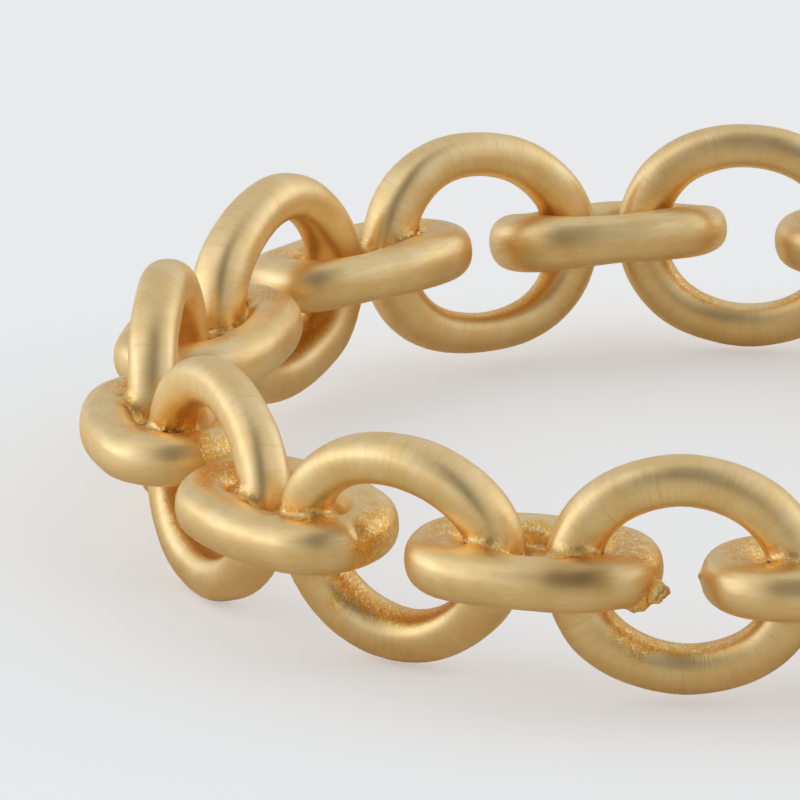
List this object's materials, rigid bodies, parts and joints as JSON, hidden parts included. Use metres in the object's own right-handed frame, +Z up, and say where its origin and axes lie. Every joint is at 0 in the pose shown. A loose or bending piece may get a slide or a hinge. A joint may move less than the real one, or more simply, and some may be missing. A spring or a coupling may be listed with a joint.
{
  "type": "chain link ring",
  "caption": "Rigid finger ring cast as a closed chain: oval upright links alternate with flat links that loop round their limbs, in matte brushed gold.",
  "frame": {"origin": "centre of the ring, on the floor that it lies on", "axes": "+Z up along the ring's axis, where a finger goes through; -Y towards the front link"},
  "size_m": [0.0232, 0.0231, 0.0047],
  "materials": {
    "gold": "satin"
  },
  "bodies": {
    "root": {"link_band": "gold"}
  },
  "joints": []
}
